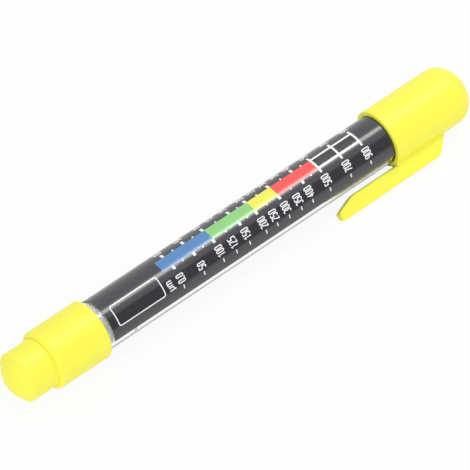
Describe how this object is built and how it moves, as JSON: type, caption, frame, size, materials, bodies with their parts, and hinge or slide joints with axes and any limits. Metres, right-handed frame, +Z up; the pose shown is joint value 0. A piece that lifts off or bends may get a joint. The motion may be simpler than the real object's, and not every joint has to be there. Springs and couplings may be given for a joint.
{
  "type": "paint thickness gauge",
  "caption": "Pen-type paint thickness gauge: a magnet nose on a sprung slider in a clear barrel with a coloured scale, and an end cap with a clip.",
  "frame": {"origin": "on the table, under the middle of the pen's bounding box, with the pen lying on its collar and on the edge of its clip", "axes": "+X along the pen from the magnet nose to the end cap, +Z up, the clip low on the -Y side"},
  "size_m": [0.1552, 0.02, 0.0168],
  "materials": {
    "yellow_plastic": "smooth moulded plastic, soft sheen",
    "clear_plastic": "clear polished acrylic",
    "label_film": "glossy printed film",
    "zone_film": "tinted clear film, blue, green, yellow and red zones",
    "white_plastic": "white moulded plastic",
    "black_plastic": "matt black plastic",
    "rubber": "soft matt rubber",
    "brass": "turned brass",
    "plated_steel": "zinc plated steel",
    "magnet_nickel": "nickel plated magnet",
    "spring_steel": "drawn spring wire"
  },
  "bodies": {
    "barrel": {"barrel_tube": "clear_plastic", "scale_label": "label_film", "zone_strip": "zone_film", "front_collar": "yellow_plastic", "guide_bush": "white_plastic", "front_bumper": "rubber", "stop_bumper": "rubber", "rear_plug": "white_plastic", "adjusting_screw": "brass", "lock_washer": "plated_steel", "lock_nut": "brass", "tension_spring": "spring_steel"},
    "slider": {"magnet_head": "yellow_plastic", "magnet": "magnet_nickel", "pole_cup": "plated_steel", "magnet_retainer": "white_plastic", "slider_tube": "white_plastic", "indicator_sleeve": "black_plastic", "slider_plug": "white_plastic"},
    "cap": {"end_cap": "yellow_plastic"}
  },
  "joints": [
    {"name": "slider_pull", "type": "slide", "parent": "barrel", "child": "slider", "axis": [-1, 0, 0], "range_m": [0, 0.0664], "stiffness_N_per_m": 93, "springref_m": -0.003, "deforming": ["tension_spring"]},
    {"name": "cap_pull", "type": "slide", "parent": "barrel", "child": "cap", "axis": [1, 0, 0], "range_m": [0, 0.03]}
  ]
}
